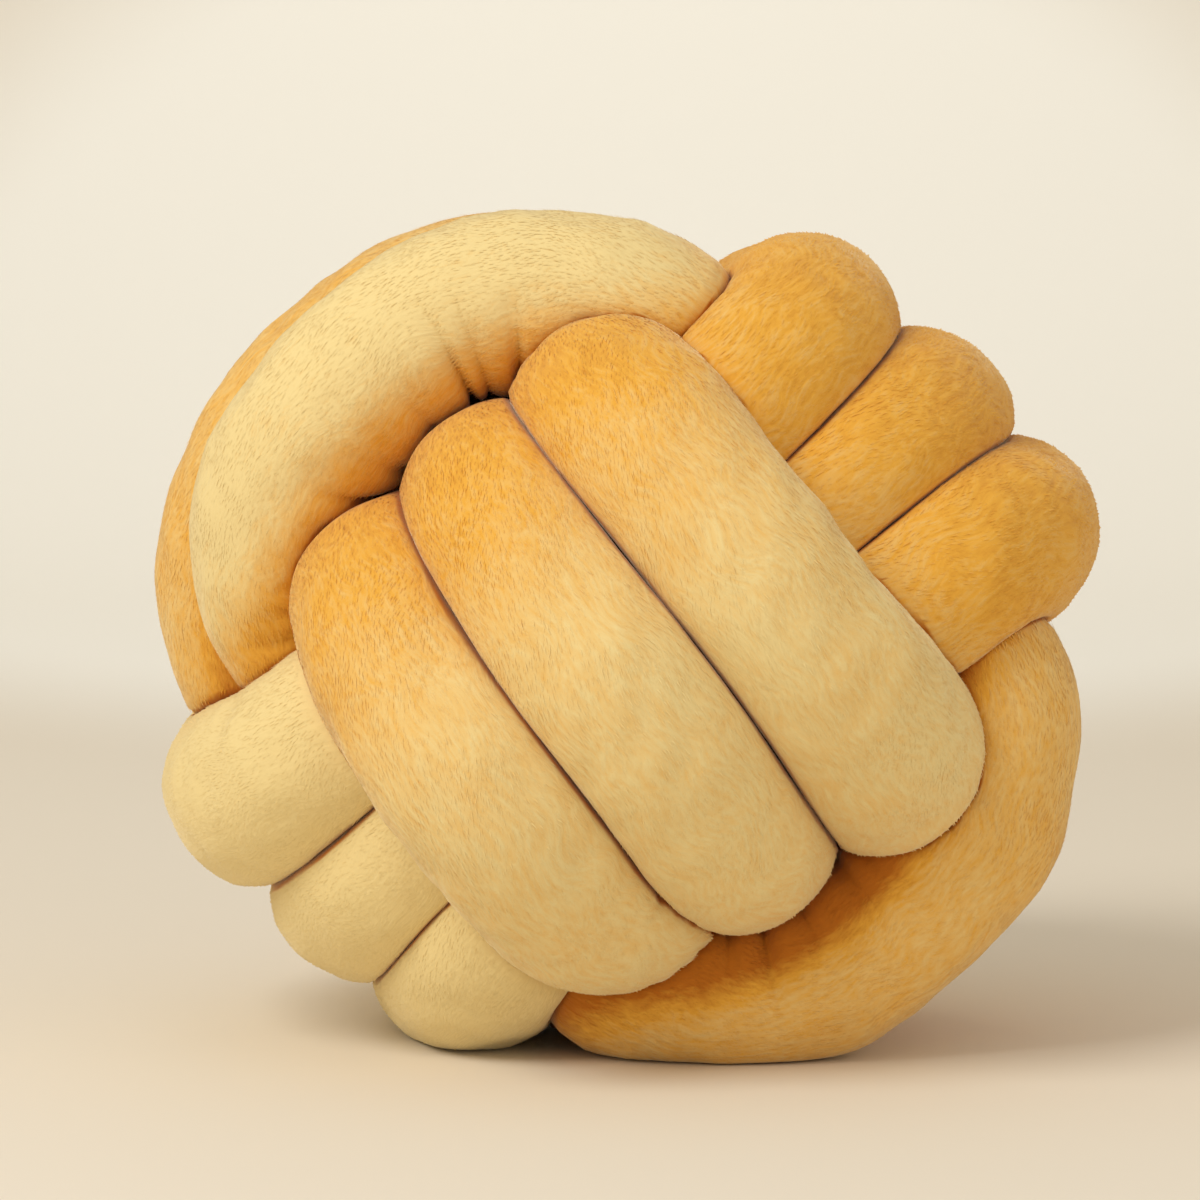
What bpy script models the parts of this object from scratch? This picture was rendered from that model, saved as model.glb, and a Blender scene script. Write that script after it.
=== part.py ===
"""Knot cushion: one long stuffed plush tube tied into a ball knot with three turns each way.

Metres, +Z up, the face with the three turns that lie on top looks along -Y. The ball stands on
the XY plane, on the flats that its own weight presses into it.
"""

from collections import namedtuple
from math import cos, pi, radians, sin

import bmesh
import bpy
import numpy as np
from mathutils import Matrix

# ---- driving dimensions, in metres ----
TUBE_RADIUS = 0.0265      # the stuffed tube where nothing presses on it
MOST_SWELL = 1.12         # a squeezed tube grows this much across to keep its filling, at most
PART_GAP = 0.0010         # kept between the skin and the middle of a crease
OWN_STRETCH = 0.9 * TUBE_RADIUS   # along the tube, nothing nearer than this touches a stretch,
OWN_BEND = 3.2 * TUBE_RADIUS      # and nearer than this only the inside of its own bend does
PRESSED_IN = 0.008        # how deep the ball's weight presses it against the floor

# how the knot lies: its own axes (u, v, w) start along +X, the picture's up, and towards the viewer
ROLL = 50                 # degrees, the front turns run down to the right
TIP = 3                   # degrees, the upper left side is tipped forwards
LEAN = 3                  # degrees, the upper right side leans forwards
TILT_BACK = 5             # degrees, the front face looks up a little

# ---- the ball knot ----
# Each ring is a loop of three turns. Its long way ends in two faces, where the turns show side by
# side. Its short way ends in two passages, where they run under the faces of another ring.
RING_AXES = {"A": "wuv", "B": "uvw", "C": "vwu"}     # long way, short way, sideways

Turn = namedtuple("Turn", "face far_face passage far_passage"
                          " side_at_face side_at_passage side_at_far_face side_at_far_passage"
                          " turned power")

# millimetres from the middle of the ball, degrees for turned, and the superellipse power of the
# loop, where 2 is an ellipse and more is squarer
TURNS = {
    "A": [Turn(112, 112, 83, 64, 43, 36, 46, 41, 0, 2.3),
          Turn(116, 116, 69, 60, -5, -14, 0, 4, 0, 2.3),
          Turn(112, 112, 53, 56, -51, -53, -46, -38, 0, 2.2)],
    "B": [Turn(109, 106, 75, 69, 46, 43, 50, 43, 6, 2.8),
          Turn(94, 112, 71, 86, 0, 0, 0, 0, 12, 2.9),
          Turn(106, 100, 74, 74, -46, -43, -46, -43, 4, 2.5)],
    "C": [Turn(106, 98, 74, 74, 49, 33, 45, 40, 0, 2.5),
          Turn(106, 106, 74, 74, 8, 2, 8, 0, 0, 2.5),
          Turn(99, 112, 74, 74, -35, -30, -35, -40, 0, 2.7)],
}
POINTS_PER_TURN = 24
LEFT_OUT = 2              # points at the start and end of a ring that are given up to the links

# places (u, v, w) in millimetres that the tube passes between the rings. The link is given as it
# runs from ring A to ring B, and is passed on one axis for the way from ring B to ring C.
FIRST_END = [(30, 20, 22), (-4, 32, 12), (-38, 40, 0)]
LINK = [(-40, -38, -4), (-22, -34, 22), (4, -38, 40)]
LAST_END = [(-40, 0, -38), (-14, -8, -18), (26, -8, 2)]

# ---- how the tube settles when the knot is pulled tight ----
CROWDED = 0.030           # stretches nearer to each other than this push apart
HELD_BEYOND = 0.104       # so far from the middle the turns stay where the table puts them,
FREE_WITHIN = 0.088       # and nearer than this they give way
HELD, FREE = 0.35, 0.01   # share of the way back that each round pulls the outer and inner stretches
ROUNDS = 150

# ---- how the skin meets itself ----
CREASE_HARDNESS = 9       # higher lets the tube stay round for longer before it flattens
OWN_BEND_ROOM = 0.92      # share of the room that the inside of a tube's own bend may fill
EVENED_OVER = 0.012       # length along the tube over which its swelling evens out
END_ROUNDING = 0.026      # length over which the closed ends round off,
END_FLATNESS = 0.93       # and the share of that roundness they reach before their flat caps

# ---- mesh fineness ----
ROUTE_STEP = 0.004        # spacing of the points that the contact is worked out from
RING_EVERY = 3            # every third point carries a ring of the mesh
BEVEL_RESOLUTION = 4      # 4 + 2 * 4 = 12 sides
SEED_RADIUS = 0.001       # the tube starts this thin and is then blown up to its contacts
FAR = 10.0                # metres, stands for no contact
NEARLY_NONE = 1e-6        # and lengths below this count as none

PLUSH = {"name": "yellow_plush", "color": (0.82, 0.60, 0.27, 1.0), "roughness": 0.92}


def superellipse(angle, power):
    """(short, long) of a unit superellipse, in the direction of the angle from the short way."""
    size = (abs(cos(angle)) ** power + abs(sin(angle)) ** power) ** (-1 / power)
    return cos(angle) * size, sin(angle) * size


def eased(share):
    return share * share * (3 - 2 * share)


def ring_points(name):
    """Centre line of one ring's three turns, from one far passage to another, as (u, v, w)."""
    long_way, short_way, side_way = ("uvw".index(axis) for axis in RING_AXES[name])
    turns = TURNS[name]
    points = []
    for step in range(LEFT_OUT, 3 * POINTS_PER_TURN + 1 - LEFT_OUT):
        count, within = divmod(step, POINTS_PER_TURN)
        turn = turns[count]
        angle = 2 * pi * within / POINTS_PER_TURN
        short, long = superellipse(angle, turn.power)
        long *= turn.face if long >= 0 else turn.far_face
        short *= -turn.far_passage if short >= 0 else -turn.passage
        next_turn = turns[min(count + 1, 2)]
        places = (turn.side_at_far_passage, turn.side_at_face, turn.side_at_passage,
                  turn.side_at_far_face, next_turn.side_at_far_passage)
        quarter, within = divmod(within, POINTS_PER_TURN // 4)
        share = eased(4 * within / POINTS_PER_TURN)
        turned = radians(turn.turned)
        point = [0.0, 0.0, 0.0]
        point[long_way] = (long * cos(turned) - short * sin(turned)) / 1000
        point[short_way] = (long * sin(turned) + short * cos(turned)) / 1000
        point[side_way] = (places[quarter] * (1 - share) + places[quarter + 1] * share) / 1000
        points.append(point)
    return points


def between_rings(places, passed_on=0):
    """Places in metres, passed on by as many axes as asked: u to v, v to w, w to u."""
    return np.roll(np.array(places) / 1000, passed_on, axis=1)


def route_points():
    """Points of the whole route: tucked end, ring A, link, ring B, link, ring C, tucked end."""
    return np.vstack([between_rings(FIRST_END), ring_points("A"), between_rings(LINK), ring_points("B"),
                      between_rings(LINK, passed_on=1), ring_points("C"), between_rings(LAST_END)])


def spread(line, step):
    """The same line with evenly spaced points."""
    length = np.r_[0.0, np.cumsum(np.linalg.norm(np.diff(line, axis=0), axis=1))]
    places = np.linspace(0.0, length[-1], int(round(length[-1] / step)) + 1)
    return np.column_stack([np.interp(places, length, line[:, axis]) for axis in range(3)])


def smooth_line(points, step, per_span=16, passes=6):
    """A smooth curve through the points (Catmull-Rom), evenly spaced and slightly relaxed."""
    ends = np.vstack([2 * points[0] - points[1], points, 2 * points[-1] - points[-2]])
    share = np.arange(per_span)[:, None] / per_span
    spans = []
    for p0, p1, p2, p3 in zip(ends, ends[1:], ends[2:], ends[3:]):
        spans.append(0.5 * (2 * p1 + (p2 - p0) * share + (2 * p0 - 5 * p1 + 4 * p2 - p3) * share ** 2
                            + (3 * p1 - p0 - 3 * p2 + p3) * share ** 3))
    line = spread(np.vstack(spans + [points[-1:]]), step)
    for _ in range(passes):
        line[1:-1] = 0.25 * line[:-2] + 0.5 * line[1:-1] + 0.25 * line[2:]
    return spread(line, step)


def settled(line):
    """Pushes crowded stretches apart inside the knot, round after round, and keeps its outer turns."""
    start = spread(line, 2 * ROUTE_STEP)
    along = np.arange(len(start)) * 2 * ROUTE_STEP
    own = np.abs(along[:, None] - along) < OWN_BEND
    outer = (np.linalg.norm(start, axis=1) - FREE_WITHIN) / (HELD_BEYOND - FREE_WITHIN)
    hold = (FREE + (HELD - FREE) * eased(np.clip(outer, 0, 1)))[:, None]
    line = start.copy()
    for _ in range(ROUNDS):
        offset = line[:, None] - line
        apart = np.linalg.norm(offset, axis=2)
        crowding = np.where((apart < CROWDED) & ~own, 0.5 * (CROWDED - apart), 0.0)
        push = (offset * (crowding / np.maximum(apart, NEARLY_NONE))[..., None]).sum(axis=1)
        line += push / np.maximum((crowding > 0).sum(axis=1), 1)[:, None]
        line += hold * (start - line)
        line[1:-1] = 0.25 * line[:-2] + 0.5 * line[1:-1] + 0.25 * line[2:]
    return smooth_line(line, ROUTE_STEP)


def lying():
    """Turns the knot's axes into the world's."""
    turn = (Matrix.Rotation(radians(90 - TILT_BACK), 3, "X") @ Matrix.Rotation(radians(-ROLL), 3, "Z")
            @ Matrix.Rotation(radians(LEAN), 3, "X") @ Matrix.Rotation(radians(TIP), 3, "Y"))
    return np.array(turn)


def room_around(centres, places, outward, line):
    """Distance from each centre to half way to the nearest other stretch, along each direction."""
    along_line = np.arange(len(line)) * ROUTE_STEP
    room = np.empty(outward.shape[:2])
    for index, centre in enumerate(centres):
        offset = line - centre
        apart = np.abs(along_line - places[index])
        reach = outward[index] @ offset.T
        squared = (offset ** 2).sum(axis=1)
        half_way = np.where(reach > NEARLY_NONE, squared / (2 * np.maximum(reach, NEARLY_NONE)), FAR)
        half_way[:, apart < OWN_STRETCH] = FAR
        half_way[:, apart < OWN_BEND] *= OWN_BEND_ROOM
        room[index] = half_way.min(axis=1)
    return room


def skin_radius(room, ring_step):
    """Radius of the skin: the free tube's in the open, up to the contact where there is one."""
    full_area = pi * TUBE_RADIUS ** 2
    swell = np.ones(len(room))
    width = max(1, int(round(EVENED_OVER / ring_step)))
    weights = np.hanning(2 * width + 3)[1:-1]
    weights /= weights.sum()
    for _ in range(3):
        free = TUBE_RADIUS * swell[:, None]
        crowded = free ** -float(CREASE_HARDNESS) + room ** -float(CREASE_HARDNESS)
        radius = crowded ** (-1 / CREASE_HARDNESS)
        area = pi * (radius ** 2).mean(axis=1)
        swell = np.clip(swell * np.sqrt(full_area / area), 1.0, MOST_SWELL)
        swell = np.convolve(np.pad(swell, width, mode="edge"), weights, mode="valid")
    return radius - PART_GAP


def thin_tube(line, name):
    """The route as a curve with a thin round bevel and filled caps, made a closed mesh."""
    curve = bpy.data.curves.new(name, "CURVE")
    curve.dimensions = "3D"
    curve.bevel_depth = SEED_RADIUS
    curve.bevel_resolution = BEVEL_RESOLUTION
    curve.use_fill_caps = True
    spline = curve.splines.new("POLY")
    spline.points.add(len(line) - 1)
    for point, place in zip(spline.points, line):
        point.co = (*place, 1.0)
    holder = bpy.data.objects.new(name + "_route", curve)
    bpy.context.scene.collection.objects.link(holder)
    bpy.context.view_layer.update()
    evaluated = holder.evaluated_get(bpy.context.evaluated_depsgraph_get())
    mesh = bpy.data.meshes.new_from_object(evaluated)
    bpy.data.objects.remove(holder)
    shell = bmesh.new()
    shell.from_mesh(mesh)
    bmesh.ops.remove_doubles(shell, verts=shell.verts, dist=SEED_RADIUS / 20)
    bmesh.ops.recalc_face_normals(shell, faces=shell.faces)
    shell.to_mesh(mesh)
    shell.free()
    mesh.name = name
    return mesh


def blown_up(mesh, rings, line):
    """Moves every vertex of the thin tube out to the skin, and rounds off the two ends."""
    count = len(mesh.vertices)
    flat = np.empty(count * 3)
    mesh.vertices.foreach_get("co", flat)
    places = flat.reshape(-1, 3)
    owner = np.array([np.argmin(((rings - place) ** 2).sum(axis=1)) for place in places])
    order = np.argsort(owner, kind="stable")
    sides = count // len(rings)
    by_ring = order.reshape(len(rings), sides)
    outward = places[by_ring] - rings[:, None, :]
    outward /= np.linalg.norm(outward, axis=2)[..., None]
    ring_step = np.linalg.norm(rings[1] - rings[0])
    along = np.arange(len(rings)) * (len(line) - 1) * ROUTE_STEP / (len(rings) - 1)
    radius = skin_radius(room_around(rings, along, outward, line), ring_step)
    from_end = np.minimum(along, along[-1] - along)
    short_of_end = np.clip(1 - from_end / END_ROUNDING, 0.0, END_FLATNESS)
    radius *= np.sqrt(1 - short_of_end ** 2)[:, None]
    places[by_ring] = rings[:, None, :] + outward * radius[..., None]
    return places


def plush():
    material = bpy.data.materials.new(PLUSH["name"])
    material.use_nodes = True
    shader = material.node_tree.nodes["Principled BSDF"]
    shader.inputs["Base Color"].default_value = PLUSH["color"]
    shader.inputs["Roughness"].default_value = PLUSH["roughness"]
    shader.inputs["Metallic"].default_value = 0.0
    return material


def knotted_tube():
    """The whole cushion: the tube from one tucked end to the other, tied and set on the floor."""
    line = settled(smooth_line(route_points(), ROUTE_STEP)) @ lying().T
    rings = spread(line, ROUTE_STEP * RING_EVERY)
    mesh = thin_tube(rings, "knotted_tube")
    places = blown_up(mesh, rings, line)
    middle = (places.min(axis=0) + places.max(axis=0)) / 2
    places -= (middle[0], middle[1], places[:, 2].min() + PRESSED_IN)
    places[:, 2] = np.maximum(places[:, 2], 0.0)
    mesh.vertices.foreach_set("co", places.ravel())
    mesh.update()
    mesh.materials.clear()
    mesh.materials.append(plush())
    return bpy.data.objects.new("knotted_tube", mesh)


def main():
    for old in list(bpy.data.objects):
        bpy.data.objects.remove(old)
    cushion = bpy.data.collections.new("knot_cushion")
    bpy.context.scene.collection.children.link(cushion)
    cushion.objects.link(knotted_tube())


main()
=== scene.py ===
"""Knot cushion: one long stuffed tube of short-pile plush, tied into a ball knot.

Metres, +Z up, the face with the three turns that lie on top looks along -Y.
"""

from collections import namedtuple
from math import cos, pi, radians, sin

import bpy
import numpy as np
from bpy.props import FloatProperty, FloatVectorProperty, IntProperty, PointerProperty
from mathutils import Matrix, Vector


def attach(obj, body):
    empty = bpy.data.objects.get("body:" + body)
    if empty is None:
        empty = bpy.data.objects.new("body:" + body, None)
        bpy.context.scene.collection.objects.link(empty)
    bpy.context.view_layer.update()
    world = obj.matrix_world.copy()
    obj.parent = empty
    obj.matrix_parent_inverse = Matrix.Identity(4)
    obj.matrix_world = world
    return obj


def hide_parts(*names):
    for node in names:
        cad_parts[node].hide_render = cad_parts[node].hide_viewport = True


bl_info = {
    "name": "Knot Cushion",
    "version": (1, 0, 0),
    "blender": (4, 5, 0),
    "location": "3D View > Sidebar > Knot Cushion",
    "description": "A stuffed plush tube in a ball knot, with its pile, a floor and soft light",
    "category": "Object",
}

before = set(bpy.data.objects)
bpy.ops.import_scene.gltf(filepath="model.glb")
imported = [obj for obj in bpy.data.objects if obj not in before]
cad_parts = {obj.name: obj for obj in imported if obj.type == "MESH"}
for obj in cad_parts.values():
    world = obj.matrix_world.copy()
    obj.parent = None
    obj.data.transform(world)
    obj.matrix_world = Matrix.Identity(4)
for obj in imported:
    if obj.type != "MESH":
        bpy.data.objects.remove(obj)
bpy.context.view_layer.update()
NODE = "knotted_tube"

# ---- how the knot lies, in degrees: its own axes (u, v, w) start along +X, up, and forwards ----
ROLL, TIP, LEAN, TILT_BACK = 50, 3, 3, 5

# ---- the route ----
# Each ring is a loop of three turns. Its long way ends in two faces, where the turns show side by
# side. Its short way ends in two passages, where they run under the faces of another ring.
RING_AXES = {"A": "wuv", "B": "uvw", "C": "vwu"}     # long way, short way, sideways

Turn = namedtuple("Turn", "face far_face passage far_passage"
                          " side_at_face side_at_passage side_at_far_face side_at_far_passage"
                          " turned power")

# millimetres from the middle of the ball, degrees for turned, and the superellipse power of the
# loop, where 2 is an ellipse and more is squarer
TURNS = {
    "A": [Turn(112, 112, 83, 64, 43, 36, 46, 41, 0, 2.3),
          Turn(116, 116, 69, 60, -5, -14, 0, 4, 0, 2.3),
          Turn(112, 112, 53, 56, -51, -53, -46, -38, 0, 2.2)],
    "B": [Turn(109, 106, 75, 69, 46, 43, 50, 43, 6, 2.8),
          Turn(94, 112, 71, 86, 0, 0, 0, 0, 12, 2.9),
          Turn(106, 100, 74, 74, -46, -43, -46, -43, 4, 2.5)],
    "C": [Turn(106, 98, 74, 74, 49, 33, 45, 40, 0, 2.5),
          Turn(106, 106, 74, 74, 8, 2, 8, 0, 0, 2.5),
          Turn(99, 112, 74, 74, -35, -30, -35, -40, 0, 2.7)],
}
POINTS_PER_TURN = 24
LEFT_OUT = 2              # points at the start and end of a ring that are given up to the links
POINTS_PER_RING = 3 * POINTS_PER_TURN + 1 - 2 * LEFT_OUT

# places (u, v, w) in millimetres that the tube passes between the rings. The link is given as it
# runs from ring A to ring B, and is passed on one axis for the way from ring B to ring C.
FIRST_END = [(30, 20, 22), (-4, 32, 12), (-38, 40, 0)]
LINK = [(-40, -38, -4), (-22, -34, 22), (4, -38, 40)]
LAST_END = [(-40, 0, -38), (-14, -8, -18), (26, -8, 2)]

# ---- how the tube settles when the knot is pulled tight ----
CROWDED = 0.030           # stretches nearer to each other than this push apart
HELD_BEYOND = 0.104       # so far from the middle the turns stay where the table puts them,
FREE_WITHIN = 0.088       # and nearer than this they give way
HELD, FREE = 0.35, 0.01   # share of the way back that each round pulls outer and inner stretches
ROUNDS = 150

# ---- how the skin meets itself and the floor ----
OWN_STRETCH = 0.9         # tube radii along the tube within which nothing touches,
OWN_BEND = 3.2            # and within which only the inside of its own bend does
OWN_BEND_ROOM = 0.92      # share of the room that the inside of its own bend may fill
MEETS_WITHIN = 0.02       # square metres, the squared distance within which stretches can meet
EVENED_OVER = 0.012       # length along the tube over which its swelling evens out
OPEN_ROOM = 0.75          # free radii of room past the skin with which it counts as fully open
END_ROUNDING = 0.026      # length over which the closed ends round off,
END_FLATNESS = 0.93       # and the share of that roundness they reach before their flat caps
FLOOR_EASE = 0.0016       # how softly the skin turns into its flats on the floor

# ---- lumps and gathers ----
LUMP_SIZES = 0.045, 0.018      # the large ones, and the small ones, which are half as high
LUMPS_IN_CREASES = 0.25        # share of their height that is left in a crease
GATHER_GAPS = 0.5, 1.5         # gather spacings from one gather to the next, least and most
GATHER_WIDTHS = 0.10, 0.24     # gather spacings
GATHER_REACHES = -0.5, 0.1     # cosines, measured from the inside of the bend
GATHER_DEPTHS = 0.35, 1.0      # shares of the full depth
GATHERED_BEND = 0.055          # radius of a bend, up to which it is gathered to the full depth

# ---- mesh fineness ----
ROUTE_STEP = 0.004        # spacing of the points that the contact is worked out from
INNER_FROM, INNER_OVER = 0.096, 0.022      # distances from the middle where the rings spread out
SEED_RADIUS = 0.001       # the tube starts this thin and is then blown up to its contacts
RING_ASTRAY = 0.002       # a ring farther than this from its centre isn't the one looked for
RING_BLEND = 0.03         # half the length over which one ring of turns passes into its link
FAR = 10.0                # metres, stands for no contact
NEARLY_NONE = 1e-6        # and lengths below this count as none

# ---- tone of the plush with painted light and shade in it: per ring, the axis it changes along,
# ---- from where to where and from how deep to how light; how much painted shade darkens it where
# the turn
# ---- dives into the knot, on its deep and its light side; and how much painted shade darkens the
# turns behind the first one on the light side
NapAndShade = namedtuple("NapAndShade", "axis deep_at light_at deepest lightest dive_deep dive_light behind")
# the change along the axis is partly the nap's own tone and partly painted light and shade
NAP_AND_SHADE = {"A": NapAndShade("u", -0.090, 0.010, -0.10, 0.85, 0.0, 0.0, 0.0),
       "B": NapAndShade("u", 0.100, -0.120, 0.35, 1.1, 2.2, 0.80, 0.75),
       "C": NapAndShade("v", 0.125, -0.080, -0.05, 1.3, 0.0, 0.0, 0.0)}
# painted shade where a turn dives into the knot: none at AT_TOP, full at DIVED; painted shade on
# the turns behind grows from BEHIND_FROM sideways over BEHIND_FADE
DIVED, AT_TOP = 0.112, 0.132      # distances from the middle of the ball
BEHIND_FROM, BEHIND_FADE = 0.027, 0.008      # sideways from the middle of the ring
NO_RING = 0.02            # weight of plain gold, which shows only between the rings

# ---- how the pile is brushed: along the tube, or to the back on ring C, and a little down ----
BRUSHED_DOWN = np.array([-0.10, 0.0, -0.25])
TO_BACK = 4               # how fast ring C's pile turns round where the tube runs sideways
SWIRL, SWIRL_SIZE = 0.30, 0.030
LEAST_BRUSH = 0.05        # a weaker brush stroke isn't brought to full length

# ---- where the pile stands: the value it begins from, and the stretch over which it thickens ----
COVER_OPENNESS = 0.02, 0.05
COVER_REACH = 0.088, 0.008     # metres from the middle of the ball
COVER_HEIGHT = 0.0012, 0.001   # metres above the floor
PILE_DENSITY = 1200000.0       # tufts a square metre, before their spacing thins them out
PILE_CLEARANCE = 0.0002        # least height of a tuft above the floor
TUFT_LEAST, TUFT_MOST = (0.7, 0.04, 0.6), (1.2, 0.06, 1.25)      # wide, thick and long
PILE_PIECES = "a_left", "a_right", "b_left", "b_right", "c_left", "c_right"

# ---- the plush: scale, detail and roughness of its noises, and how far they change its tone ----
WANDER_NOISE, WANDER = (40.0, 1.0, 0.5), 0.016      # metres that the strokes leave their line by
PATCH_NOISE, PATCH_TONE = (26.0, 3.0, 0.6), 0.6
FLECK_NOISE, FLECK_TONE = (620.0, 2.0, 0.55), 1.0
CLUMP_NOISE = 240.0, 2.0, 0.6
STROKES = 0.30, 1.0, 1.0       # their scale along the tube, round it, and through the cloth
# painted sheen: the tufts are paler towards the tip; painted shade: they are darker at the root
TIP_SHEEN_TONE, ROOT_SHADE_TONE = 0.35, -0.12
GOLD_AT, PALE_AT = 0.4, 0.9    # on the colour ramp, where deep is at 0
CREASE_SHADE_OPENNESS = 0.06         # below it the crease is painted with shade in the deep colour
FLECK_RELIEF, BUMP, BUMP_DEPTH = 0.8, 0.5, 0.0008

# ---- the stage, in metres ----
SWEEP_FRONT, SWEEP_NEAR, SWEEP_BACK, SWEEP_TOP = -9.0, -0.6, 2.8, 3.2
SWEEP_HALF_WIDTH, SWEEP_RADIUS, SWEEP_STEPS = 10.0, 1.2, 24
# painted pool of light on the backdrop: where it is centred, how it is stretched, and where it
# fades out
GLOW_SHIFT, GLOW_SCALE, GLOW_FADE = (0.0, -1.10, -0.05), (1.0, 0.55, 1.0), (0.50, 0.74)
WARM = 1.0, 0.97, 0.92

# a light's power is the stage setting of that name, and without an aim it points at the cushion
Light = namedtuple("Light", "name power place aim size colour")
LIGHTS = [Light("key_light", "key", (-1.25, -1.25, 1.75), None, 1.2, (1.0, 0.99, 0.97)),
          Light("fill_light", "fill", (1.4, -1.3, 0.7), None, 1.2, WARM),
          Light("backdrop_light", "backdrop", (0.0, 1.9, 1.7), (0.0, 2.8, 0.1), 1.0, WARM)]
ROOM_COLOUR = 1.0, 0.945, 0.85, 1.0
SENSOR = 36.0             # millimetres
PHOTO_WIDTH = 1200        # pixels, and those from the photo's middle to the middle of the ball:
BALL_RIGHT, BALL_BELOW = 24, 34


# ------------------------------------------------------------------ settings

def measure(name, description, default, precision=2):
    return FloatProperty(name=name, description=description, default=default, precision=precision,
                         subtype="DISTANCE", unit="LENGTH")


def tint(name, description, default):
    return FloatVectorProperty(name=name, description=description, default=default,
                               subtype="COLOR")


def watts(name, description, default):
    return FloatProperty(name=name, description=description, default=default, subtype="POWER",
                         unit="POWER")


class TubeSettings(bpy.types.PropertyGroup):
    radius: measure("Tube Radius", "Radius of the stuffed tube where nothing presses on it", 0.0265)
    swell: FloatProperty(name="Most Swell", default=1.12,
                         description="How much a squeezed tube may grow across")
    gap: measure("Crease Gap", "Kept between the skin and the middle of a crease", 0.00008, 5)
    crease: measure("Crease Ease", "How softly the tube turns into its flat contact", 0.0022, 4)
    pressed_in: measure("Pressed In", "How deep the weight presses the ball on the floor", 0.008)
    sides: IntProperty(name="Sides", description="Points round the tube", default=58)
    outer_step: measure("Outer Step", "Ring spacing where the tube shows", 0.0026, 4)
    inner_step: measure("Inner Step", "Ring spacing inside the knot", 0.0085, 4)
    bunched: FloatProperty(name="Bunched", default=0.45,
                           description="How much closer the points stand on the outside")
    lump: measure("Lumps", "Height of the soft lumps of the filling", 0.0007, 5)
    gather: measure("Gathers", "Depth of the gathers on the inside of a bend", 0.0075, 5)
    gather_spacing: measure("Gather Spacing", "Distance between gathers along the tube", 0.014)
    seed: IntProperty(name="Seed", description="Where the lumps and gathers fall", default=4)


class PileSettings(bpy.types.PropertyGroup):
    length: measure("Tuft Length", "Length of a tuft of pile", 0.0020, 4)
    width: measure("Tuft Width", "Width of a tuft at its root", 0.0007, 4)
    spacing: measure("Tuft Spacing", "Least distance between two tufts", 0.0009, 5)
    lean: FloatProperty(name="Lean", description="How far the tufts lean over, from upright",
                        default=radians(84), subtype="ANGLE", unit="ROTATION")
    ruffle: FloatProperty(name="Ruffle", description="How much the tufts point apart", default=0.13)
    seed: IntProperty(name="Seed", description="Where the tufts stand", default=11)


class PlushColours(bpy.types.PropertyGroup):
    # gold and pale are the plush's tones; which one shows is set by the nap attribute, which also
    # holds painted light and shade
    gold: tint("Gold", "The plush where the pile stands up", (0.79, 0.40, 0.052))
    pale: tint("Pale", "The plush where the pile is brushed flat", (0.83, 0.65, 0.30))
    # deep is painted shade: the colour painted into the creases and, through the nap attribute,
    # where turns dive into the knot
    deep: tint("Deep", "The roots of the pile, in the creases", (0.50, 0.16, 0.015))
    sheen: tint("Sheen", "Light caught by the tips of the pile", (1.0, 0.89, 0.64))


class StageSettings(bpy.types.PropertyGroup):
    floor: tint("Floor", "Colour of the floor and backdrop", (0.82, 0.75, 0.635))
    # painted light: a pool of light painted on the backdrop behind the cushion, in this colour
    painted_glow: tint("Glow", "Backdrop colour behind the cushion", (0.98, 0.96, 0.89))
    distance: measure("Camera Distance", "From the middle of the ball", 1.5)
    view_width: measure("View Width", "Width of the view at the middle of the ball", 0.3564)
    key: watts("Key Light", "Power of the soft light from the upper left", 31.0)
    fill: watts("Fill Light", "Power of the soft light from the front right", 3.0)
    backdrop: watts("Backdrop Light", "Power of the soft light on the backdrop", 4.0)
    room: FloatProperty(name="Room Light", description="Strength of the light from all around",
                        default=0.60)


# ------------------------------------------------------------------ small helpers

def eased(share):
    return share * share * (3 - 2 * share)


def risen(value, start, over):
    """0 up to the start, and from there evenly up to 1 over the stretch given."""
    return np.clip((value - start) / over, 0, 1)


def unit(vectors):
    return vectors / np.linalg.norm(vectors, axis=-1)[..., None]


def across(vectors, along):
    """The part of each vector that is at right angles to the unit vector beside it."""
    return vectors - (vectors * along).sum(axis=-1)[..., None] * along


def smoothed(values, width, passes=3):
    """Running mean along the first axis."""
    kernel = np.ones(2 * width + 1) / (2 * width + 1)
    flat = values.reshape(len(values), -1)
    for _ in range(passes):
        padded = np.pad(flat, ((width, width), (0, 0)), mode="edge")
        columns = [np.convolve(column, kernel, mode="valid") for column in padded.T]
        flat = np.stack(columns, axis=1)
    return flat.reshape(values.shape)


def soft_waves(points, size, rng, count=24):
    """A smooth uneven field between about -1 and 1, made of plane waves of about that size."""
    total = np.zeros(points.shape[:-1])
    for _ in range(count):
        direction = rng.normal(size=3)
        direction *= 2 * pi / size / np.linalg.norm(direction) * rng.uniform(0.6, 1.5)
        total += np.sin(points @ direction + rng.uniform(0, 2 * pi))
    return total / np.sqrt(count / 2) * 0.6


# ------------------------------------------------------------------ the route of the tube

def superellipse(angle, power):
    """(short, long) of a unit superellipse, in the direction of the angle from the short way."""
    size = (abs(cos(angle)) ** power + abs(sin(angle)) ** power) ** (-1 / power)
    return cos(angle) * size, sin(angle) * size


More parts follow.
